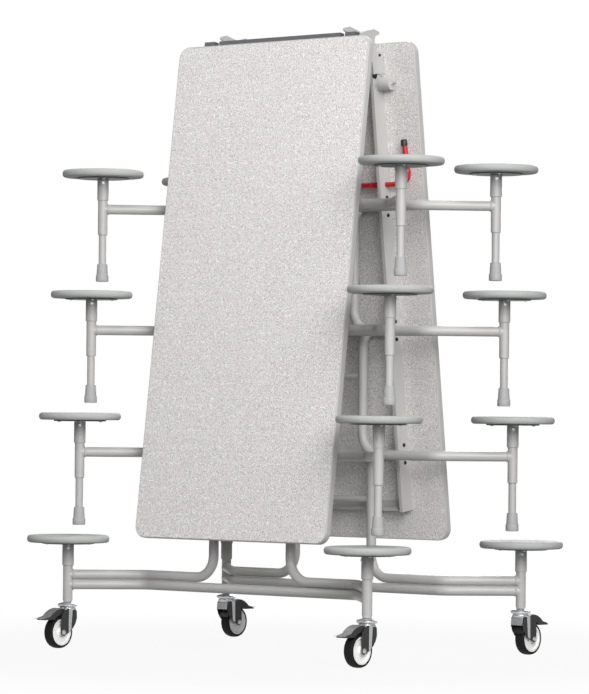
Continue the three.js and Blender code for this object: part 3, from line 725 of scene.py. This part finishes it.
def post_profile(is_end):
    """Radius and height of a stool post: lower tube or castor end, post and sleeve, with eased
    steps."""
    sleeve = [
        (POST_RADIUS, SLEEVE_LOW - 0.0005),
        (SLEEVE_RADIUS - 0.0008, SLEEVE_LOW),
        (SLEEVE_RADIUS, SLEEVE_LOW + 0.001),
        (SLEEVE_RADIUS, SLEEVE_HIGH - 0.001),
        (SLEEVE_RADIUS - 0.001, SLEEVE_HIGH),
    ]
    if is_end:
        lower = [
            (STEM_BORE, CASTOR_POST_END + STEM_BORE_DEPTH),
            (STEM_BORE, CASTOR_POST_END),
            (POST_RADIUS - 0.002, CASTOR_POST_END),
            (POST_RADIUS, CASTOR_POST_END + 0.008),
        ]
    else:
        lower = [
            (LOWER_RADIUS, LOWER_END),
            (LOWER_RADIUS, POST_LOW - 0.0005),
            (POST_RADIUS - 0.0008, POST_LOW),
            (POST_RADIUS, POST_LOW + 0.001),
        ]
    return lower + sleeve


def weld_bead(centre, axis, radius):
    """A thin ring of weld round a tube where it meets another: an oval spun about the tube."""
    turn = np.linspace(0, 2 * pi, 8, endpoint=False)
    bead = np.stack([radius + WELD_REACH * np.cos(turn), WELD_HALF_WIDTH * np.sin(turn)], axis=-1)
    return turned(bead, centre, axis, 32, True)


def row_place(half, row):
    """Places of a stool frame: sideways, outward from its pivot, and height over its own floor
    line, which lies a pivot's height under the pivot."""
    sign = HALVES[half]
    pivot = joint_at[f"level_{half}_{row}"]

    def place(across, outward, height):
        across, outward, height = np.broadcast_arrays(across, outward, height)
        level = pivot[2] - PIVOT_HEIGHT + height
        return np.stack([across, pivot[1] + sign * outward, level], axis=-1)

    return place


for half, sign in HALVES.items():
    for row in range(1, ROWS + 1):
        place = row_place(half, row)
        leg_offset = -sign * LEG_OFFSET
        is_end = row == ROWS
        bar_height = LOWER_BAR_HEIGHT if is_end else BAR_HEIGHT
        brace_height = PIVOT_HEIGHT - BRACE_DROP
        pivot_line = place(pivot_ends, 0, PIVOT_HEIGHT)
        brace_line = place(leg_offset + brace_ends, -LEG_SETBACK, brace_height)
        tubes = [
            swept_bar(pivot_line, PIVOT_RADIUS, UP),
            swept_bar(brace_line, BRACE_RADIUS, UP),
            swept_bar(arm_line(bar_height, place), BAR_RADIUS, UP),
        ]
        for side in SIDES.values():
            leg = leg_line(side, leg_offset, is_end, place)
            tubes.append(swept_bar(leg, LEG_RADIUS, SIDEWAYS))
            post_at = place(side * STOOL_OUT, STOOL_REACH, 0)
            tubes.append(turned(post_profile(is_end), post_at, UP))
            arm_inward = unit(place(side * ARM_BEND_OUT, -LEG_SETBACK, 0) - post_at)
            for height in ((LOWER_BAR_HEIGHT, BAR_HEIGHT) if is_end else (BAR_HEIGHT,)):
                arm_end = place(side * STOOL_OUT, STOOL_REACH, height)
                bead_at = arm_end + arm_inward * (POST_RADIUS + WELD_OFF_POST)
                tubes.append(weld_bead(bead_at, arm_inward, BAR_RADIUS))
            brace_out = leg_offset + side * (LEG_OUT - LEG_RADIUS)
            brace_end = place(brace_out, -LEG_SETBACK, brace_height)
            tubes.append(weld_bead(brace_end, (1, 0, 0), BRACE_RADIUS))
            if (half, row) == ("front", 1):
                stop_outward = BAR_RADIUS - LEG_SETBACK - STOP_SCREW_SUNK
                stop_at = place(side * STOP_SCREW_OUT, stop_outward, BAR_HEIGHT + STOP_SCREW_RISE)
                stop = cap_screw(stop_at, sign * SIDEWAYS, STOP_SCREW_RADIUS, STOP_SCREW_HEIGHT)
                tubes.append((*stop, 1))
        frame_node, body = f"stool_frame_{half}_{row}", f"{half}_stools_{row}"
        tube_paint = [grey_paint, zinc]
        piece(f"{frame_node}_tubes", tubes, tube_paint, body, [frame_node])


# Seats: round moulded plastic discs, mid grey with a fine grain, on a dark grey steel plate.
# The plate's dark grey is partly its own colour and partly painted shade under the seat.
# The plate sits on the post's sleeve, four screws hold the seat from below, and a bolt goes
# through the sleeve.
SEAT_RADIUS = 0.135
SEAT_TOP = 0.369
SEAT_THICKNESS = 0.024
SEAT_RIM = 0.011
SEAT_DISH = 0.003
SEAT_PLATE_RADIUS = 0.086
SEAT_PLATE_THICKNESS = 0.004
SEAT_SCREW_CIRCLE = 0.068
SEAT_SCREW_RADIUS = 0.0045
SEAT_SCREW_HEIGHT = 0.003
SEAT_CLEARANCE = 0.0003
SEAT_SHINE = 0.2
SLEEVE_BOLT_RADIUS = 0.0032
SLEEVE_BOLT_HEIGHT = 0.003
SLEEVE_BOLT_DROP = 0.012
SLEEVE_BOLT_SUNK = 0.0006
# Seat plate colour: partly the steel's own dark grey and partly painted shade under the seat.
plate_grey_and_painted_shade = coating("dark_plate_paint", srgb(92, 93, 95), srgb(80, 81, 83), (0.4, 0.5))
seat_light, seat_dark = srgb(176, 178, 176), srgb(166, 168, 166)
seat_plastic = coating(
    "grey_seat_plastic", seat_light, seat_dark, (0.56, 0.68), 0, 30.0, 1100.0, 0.12
)
seat_shader = seat_plastic.node_tree.nodes["Principled BSDF"]
seat_shader.inputs["Specular IOR Level"].default_value = SEAT_SHINE


def seat_profile():
    """Radius and height of a seat: a flat underside, a bull-nosed rim that follows a flattened half
    circle, and on top a shallow dish, deepest in the middle, whose depth goes with the square of
    one less the squared radius."""
    swing = np.linspace(-pi / 2, pi / 2, 15)
    rim = np.stack([
        SEAT_RADIUS - SEAT_RIM + SEAT_RIM * np.cos(swing) ** 0.8,
        SEAT_TOP - SEAT_THICKNESS / 2 + SEAT_THICKNESS / 2 * np.sin(swing),
    ], axis=-1)
    inner = np.linspace(0.93, 0.02, 12)
    dish = np.stack([
        (SEAT_RADIUS - SEAT_RIM) * inner,
        SEAT_TOP - SEAT_DISH * (1 - inner ** 2) ** 2,
    ], axis=-1)
    return np.vstack([[(0.004, SEAT_TOP - SEAT_THICKNESS)], rim, dish])


for half in HALVES:
    for row in range(1, ROWS + 1):
        place = row_place(half, row)
        body = f"{half}_stools_{row}"
        plates = []
        for side_name, side in SIDES.items():
            centre = place(side * STOOL_OUT, STOOL_REACH, 0)
            seat_node = f"seat_{half}_{side_name}_{row}"
            disc = turned(seat_profile(), centre, UP, 96)
            piece(f"{seat_node}_moulded", [disc], [seat_plastic], body, [seat_node])
            under = SEAT_TOP - SEAT_THICKNESS - SEAT_CLEARANCE
            flat = [
                (0.0185, under - SEAT_PLATE_THICKNESS - 0.0002),
                (SEAT_PLATE_RADIUS - 0.001, under - SEAT_PLATE_THICKNESS),
                (SEAT_PLATE_RADIUS, under - SEAT_PLATE_THICKNESS + 0.001),
                (SEAT_PLATE_RADIUS, under),
            ]
            plates.append((*turned(flat, centre, UP, 64), 0))
            for quarter in range(4):
                swing = pi / 4 + quarter * pi / 2
                shift = np.array([cos(swing), sin(swing), 0]) * SEAT_SCREW_CIRCLE
                screw_at = centre + shift + UP * (under - SEAT_PLATE_THICKNESS)
                seat_screw = cap_screw(screw_at, -UP, SEAT_SCREW_RADIUS, SEAT_SCREW_HEIGHT)
                plates.append((*seat_screw, 1))
            arm_across = side * (STOOL_OUT - ARM_BEND_OUT)
            arm_outward = centre[1] - place(0, -LEG_SETBACK, 0)[1]
            outward = unit(np.array([arm_across, arm_outward, 0]))
            bolt_height = UP * (SLEEVE_HIGH - SLEEVE_BOLT_DROP)
            for end in (-1, 1):
                across = end * np.cross(UP, outward)
                bolt_at = centre + across * (SLEEVE_RADIUS - SLEEVE_BOLT_SUNK) + bolt_height
                sleeve_bolt = cap_screw(bolt_at, across, SLEEVE_BOLT_RADIUS, SLEEVE_BOLT_HEIGHT)
                plates.append((*sleeve_bolt, 1))
        piece(f"seat_plates_{half}_{row}", plates, [plate_grey_and_painted_shade, zinc], body)


# Rubber feet: grey moulded ferrules, slightly tapered, with a wider tread.
# They are pushed on the lower ends of the stool posts that have no castor.
FOOT_HEIGHT = 0.059
FOOT_TOP_RADIUS = 0.017
FOOT_BASE_RADIUS = 0.019
FOOT_TREAD_RADIUS = 0.021
FOOT_TREAD_HEIGHT = 0.022
foot_light, foot_dark = srgb(172, 172, 172), srgb(161, 161, 161)
foot_rubber = coating(
    "grey_foot_rubber", foot_light, foot_dark, (0.55, 0.7), 0, 50.0, 700.0, 0.1
)
foot_profile = [
    (FOOT_TREAD_RADIUS - 0.003, 0),
    (FOOT_TREAD_RADIUS - 0.0008, 0.0008),
    (FOOT_TREAD_RADIUS, 0.003),
    (FOOT_TREAD_RADIUS, FOOT_TREAD_HEIGHT - 0.0015),
    (FOOT_TREAD_RADIUS - 0.0008, FOOT_TREAD_HEIGHT),
    (FOOT_BASE_RADIUS, FOOT_TREAD_HEIGHT + 0.0008),
    (FOOT_TOP_RADIUS, FOOT_HEIGHT - 0.002),
    (FOOT_TOP_RADIUS - 0.0008, FOOT_HEIGHT - 0.0004),
    (LOWER_RADIUS + 0.0006, FOOT_HEIGHT),
    (LOWER_RADIUS + 0.0004, FOOT_HEIGHT - 0.004),
]
for half in HALVES:
    for row in range(1, ROWS):
        place = row_place(half, row)
        body = f"{half}_stools_{row}"
        for side_name, side in SIDES.items():
            foot_node = f"foot_{half}_{side_name}_{row}"
            foot = turned(foot_profile, place(side * STOOL_OUT, STOOL_REACH, 0), UP)
            piece(f"{foot_node}_ferrule", [foot], [foot_rubber], body, [foot_node])


# Castor forks: pressed and zinc plated steel, with a ball race under the stem, two cheeks and an
# axle bolt. Black plastic covers with a plated rib are clipped over both cheeks, and a plated
# apron closes the front.
CASTOR_TOP = 0.150
FORK_INSIDE = 0.0195
FORK_OUTSIDE = 0.0225
WHEEL_RADIUS = 0.053
TRAIL = 0.043
RACE_RADIUS = 0.0325
CROWN_LOW = 0.118
CROWN_HIGH = 0.130
CHEEK_RADIUS = 0.013
COVER_THICKNESS = 0.0015
COVER_RADIUS = 0.012
RIB_RISE = 0.0014
FENDER_RADIUS = 0.057
FENDER_THICKNESS = 0.003
AXLE_HEAD = 0.0075
AXLE_RADIUS = 0.005
FENDER_TOP_ANGLE = 100
FENDER_LOW_ANGLE = 162
FORK_ROUNDING = 0.0008
COVER_GAP = 0.0002
RIB_ROOT = 0.0005


def castor_place(half, side):
    """Places about a castor: sideways and outward from its swivel axis, and height over the
    floor."""
    sign = HALVES[half]
    swivel = joint_at[f"swivel_{half}_{side}"]

    def place(across, outward, height):
        across, outward, height = np.broadcast_arrays(across, outward, height)
        sideways, forward = swivel[0] + sign * across, swivel[1] + sign * outward
        return np.stack([sideways, forward, height], axis=-1)

    return place


def axle_arc(radius, start, end, steps=12):
    """Points on a circle about the axle, between two angles in degrees from straight outward."""
    turn = np.radians(np.linspace(start, end, steps + 1))
    return np.stack([TRAIL + radius * np.cos(turn), WHEEL_RADIUS + radius * np.sin(turn)], axis=-1)


race_profile = [
    (0.010, CROWN_LOW + 0.004),
    (RACE_RADIUS - 0.009, CROWN_LOW + 0.005),
    (RACE_RADIUS - 0.007, CROWN_LOW + 0.011),
    (RACE_RADIUS - 0.008, CROWN_LOW + 0.014),
    (RACE_RADIUS - 0.006, CROWN_LOW + 0.016),
    (RACE_RADIUS - 0.001, CROWN_LOW + 0.018),
    (RACE_RADIUS, CROWN_LOW + 0.020),
    (RACE_RADIUS, CROWN_LOW + 0.024),
    (RACE_RADIUS - 0.003, CROWN_LOW + 0.027),
    (0.016, CASTOR_TOP - 0.0015),
    (0.012, CASTOR_TOP),
    (0.0065, CASTOR_TOP),
    (0.0058, CASTOR_TOP + 0.034),
]
cheek_outline = [
    (-0.002, CROWN_HIGH),
    (-0.002, CROWN_LOW - 0.006),
    *axle_arc(CHEEK_RADIUS, 180, 360).tolist(),
    (TRAIL - CHEEK_RADIUS, CROWN_HIGH),
]
cover_outline = [
    (-0.019, CROWN_LOW + 0.004),
    (-0.020, CROWN_LOW - 0.022),
    (-0.014, CROWN_LOW - 0.038),
    (-0.002, WHEEL_RADIUS + 0.012),
    (0.012, WHEEL_RADIUS + 0.002),
    (0.028, WHEEL_RADIUS - 0.006),
    *axle_arc(COVER_RADIUS, 225, 345).tolist(),
    (TRAIL + 0.013, WHEEL_RADIUS + 0.026),
    (TRAIL + 0.010, CROWN_LOW - 0.012),
    (TRAIL - 0.004, CROWN_LOW + 0.006),
    (0.018, CROWN_LOW + 0.012),
    (0.000, CROWN_LOW + 0.010),
]
rib_outline = [
    (0.0020, CROWN_LOW + 0.0095),
    (0.0080, WHEEL_RADIUS + 0.006),
    (0.0200, WHEEL_RADIUS + 0.000),
    (0.0190, CROWN_LOW + 0.0115),
]
apron_outline = [
    (0.004, CROWN_HIGH - 0.001),
    (-0.014, CROWN_HIGH - 0.003),
    (-0.021, CROWN_LOW + 0.002),
    (-0.023, CROWN_LOW - 0.020),
    (-0.0215, CROWN_LOW - 0.020),
    (-0.0195, CROWN_LOW + 0.001),
    (-0.013, CROWN_HIGH - 0.005),
    (0.004, CROWN_HIGH - 0.003),
]
fender_outline = [
    *axle_arc(FENDER_RADIUS + FENDER_THICKNESS, FENDER_TOP_ANGLE, FENDER_LOW_ANGLE).tolist(),
    *axle_arc(FENDER_RADIUS, FENDER_LOW_ANGLE, FENDER_TOP_ANGLE).tolist(),
]
crown_outline = [
    (-0.016, CROWN_LOW),
    (TRAIL - CHEEK_RADIUS, CROWN_LOW),
    (TRAIL - CHEEK_RADIUS, CROWN_HIGH),
    (-0.016, CROWN_HIGH),
]
nut_profile = [
    (AXLE_HEAD * 1.2, 0),
    (AXLE_HEAD * 1.2, 0.0012),
    (AXLE_HEAD, 0.0015),
    (AXLE_HEAD, 0.0038),
    (AXLE_HEAD * 0.6, 0.0042),
]


def both_sides(outline, inner, outer, place, paint):
    """One plate on each side of a castor, at like distances from its middle."""
    return [
        (*plate(outline, inner, outer, place), paint),
        (*plate(outline, -outer, -inner, place), paint),
    ]


for half in HALVES:
    for side in SIDES:
        place = castor_place(half, side)
        across_axis = unit(place(1.0, 0.0, 0.0) - place(0.0, 0.0, 0.0))
        axle = place(0.0, TRAIL, WHEEL_RADIUS)
        cover_outside = FORK_OUTSIDE + COVER_THICKNESS
        axle_line = np.stack([axle - across_axis * FORK_OUTSIDE, axle + across_axis * FORK_OUTSIDE])
        parts = [
            (*turned(race_profile, place(0.0, 0.0, 0.0), UP), 0),
            (*plate(crown_outline, -FORK_OUTSIDE, FORK_OUTSIDE, place), 0),
            (*swept_bar(axle_line, AXLE_RADIUS, UP), 0),
            (*plate(fender_outline, -FORK_INSIDE, FORK_INSIDE, place), 1),
            *both_sides(cheek_outline, FORK_INSIDE, FORK_OUTSIDE, place, 0),
            (*plate(apron_outline, -FORK_OUTSIDE, FORK_OUTSIDE, place), 0),
            *both_sides(cover_outline, FORK_OUTSIDE + COVER_GAP, cover_outside, place, 1),
            *both_sides(rib_outline, cover_outside - RIB_ROOT, cover_outside + RIB_RISE, place, 0),
            (*turned(nut_profile, axle + across_axis * cover_outside, across_axis, 6), 0),
            (*turned(nut_profile, axle - across_axis * cover_outside, -across_axis, 6), 0),
        ]
        fork_node = f"castor_fork_{half}_{side}"
        piece(
            f"{fork_node}_pressed", parts, [zinc, black_plastic],
            fork_node, [fork_node], bevel=FORK_ROUNDING,
        )


# Castor wheels: a black rubber tyre moulded on a pale plastic centre with a raised hub and rim.
# The hub turns on the axle bolt between the fork's cheeks.
TYRE_HALF = 0.018
TREAD_ROUND = 0.008
TYRE_SHINE = 0.3
RIM_RADIUS = 0.0425
pale_light, pale_dark = srgb(244, 244, 242), srgb(234, 234, 232)
pale_plastic = coating("pale_wheel_plastic", pale_light, pale_dark, (0.35, 0.48), 0, 60.0, 700.0)
tyre_light, tyre_dark = srgb(14, 14, 15), srgb(9, 9, 10)
tyre_rubber = coating(
    "black_tyre_rubber", tyre_light, tyre_dark, (0.7, 0.85), 0, 80.0, 600.0, 0.1
)
tyre_shader = tyre_rubber.node_tree.nodes["Principled BSDF"]
tyre_shader.inputs["Specular IOR Level"].default_value = TYRE_SHINE
tyre_turn = np.linspace(-pi / 2, pi / 2, 13)
tyre_profile = np.vstack([
    [(RIM_RADIUS, TYRE_HALF - 0.003), (RIM_RADIUS, -TYRE_HALF + 0.003)],
    [(RIM_RADIUS + 0.002, -TYRE_HALF + 0.0004)],
    np.stack([
        WHEEL_RADIUS - TREAD_ROUND + TREAD_ROUND * np.cos(tyre_turn) ** 0.7,
        (TYRE_HALF - 0.0002) * np.sign(np.sin(tyre_turn)) * np.abs(np.sin(tyre_turn)) ** 0.8,
    ], axis=-1),
    [(RIM_RADIUS + 0.002, TYRE_HALF - 0.0004)],
])
centre_profile = [
    (0.0056, -TYRE_HALF + 0.0005),
    (0.013, -TYRE_HALF + 0.0005),
    (0.015, -TYRE_HALF + 0.0025),
    (0.017, -TYRE_HALF + 0.006),
    (0.034, -TYRE_HALF + 0.006),
    (0.0375, -TYRE_HALF + 0.0022),
    (RIM_RADIUS + 0.0006, -TYRE_HALF + 0.0018),
    (RIM_RADIUS + 0.0006, TYRE_HALF - 0.0018),
    (0.0375, TYRE_HALF - 0.0022),
    (0.034, TYRE_HALF - 0.006),
    (0.017, TYRE_HALF - 0.006),
    (0.015, TYRE_HALF - 0.0025),
    (0.013, TYRE_HALF - 0.0005),
    (0.0056, TYRE_HALF - 0.0005),
]
for half in HALVES:
    for side in SIDES:
        place = castor_place(half, side)
        axle = place(0.0, TRAIL, WHEEL_RADIUS)
        tyre = (*turned(tyre_profile, axle, (1, 0, 0), 72, True), 0)
        hub = (*turned(centre_profile, axle, (1, 0, 0), 72, True), 1)
        wheel_node = f"castor_wheel_{half}_{side}"
        wheel_paint = [tyre_rubber, pale_plastic]
        piece(f"{wheel_node}_tyred", [tyre, hub], wheel_paint, wheel_node, [wheel_node])


# Brake pedals: black moulded hoods between the fork cheeks, curved over the wheel.
# A zinc plated foot plate is fixed on each hood, and its toe points away from the table.
PEDAL_HALF = 0.0188
HOOD_DEPTH = 0.020
TOE_OUT = 0.087
TOE_HEIGHT = 0.099
TOE_THICKNESS = 0.004
FOOT_PLATE = 0.0016
FOOT_PLATE_END = 0.010
HOOD_BACK_ANGLE = 96
HOOD_FRONT_ANGLE = 48
PLATE_BACK_ANGLE = 88
TOE_ANGLE = 44
PEDAL_ROUNDING = 0.0006
TOE_SHORT = 0.004
hood_outline = [
    *axle_arc(FENDER_RADIUS + HOOD_DEPTH, TOE_ANGLE, HOOD_BACK_ANGLE).tolist(),
    *axle_arc(FENDER_RADIUS, HOOD_BACK_ANGLE, HOOD_FRONT_ANGLE).tolist(),
    (TRAIL + TOE_OUT - TOE_SHORT, TOE_HEIGHT - TOE_THICKNESS),
    (TRAIL + TOE_OUT - TOE_SHORT, TOE_HEIGHT),
]
foot_plate_outline = [
    *axle_arc(FENDER_RADIUS + HOOD_DEPTH + 0.0001, PLATE_BACK_ANGLE, TOE_ANGLE).tolist(),
    (TRAIL + TOE_OUT, TOE_HEIGHT + 0.0002),
    (TRAIL + TOE_OUT + FOOT_PLATE_END, TOE_HEIGHT + 0.001),
    (TRAIL + TOE_OUT + FOOT_PLATE_END, TOE_HEIGHT + 0.001 + FOOT_PLATE),
    (TRAIL + TOE_OUT, TOE_HEIGHT + FOOT_PLATE),
    *axle_arc(FENDER_RADIUS + HOOD_DEPTH + FOOT_PLATE, TOE_ANGLE, PLATE_BACK_ANGLE).tolist(),
]
for half in HALVES:
    for side in SIDES:
        place = castor_place(half, side)
        pedal_parts = [
            (*plate(hood_outline, -PEDAL_HALF, PEDAL_HALF, place), 0),
            (*plate(foot_plate_outline, -PEDAL_HALF + 0.001, PEDAL_HALF - 0.001, place), 1),
        ]
        pedal_node = f"brake_pedal_{half}_{side}"
        piece(
            f"{pedal_node}_hood", pedal_parts, [black_plastic, zinc],
            pedal_node, [pedal_node], bevel=PEDAL_ROUNDING,
        )
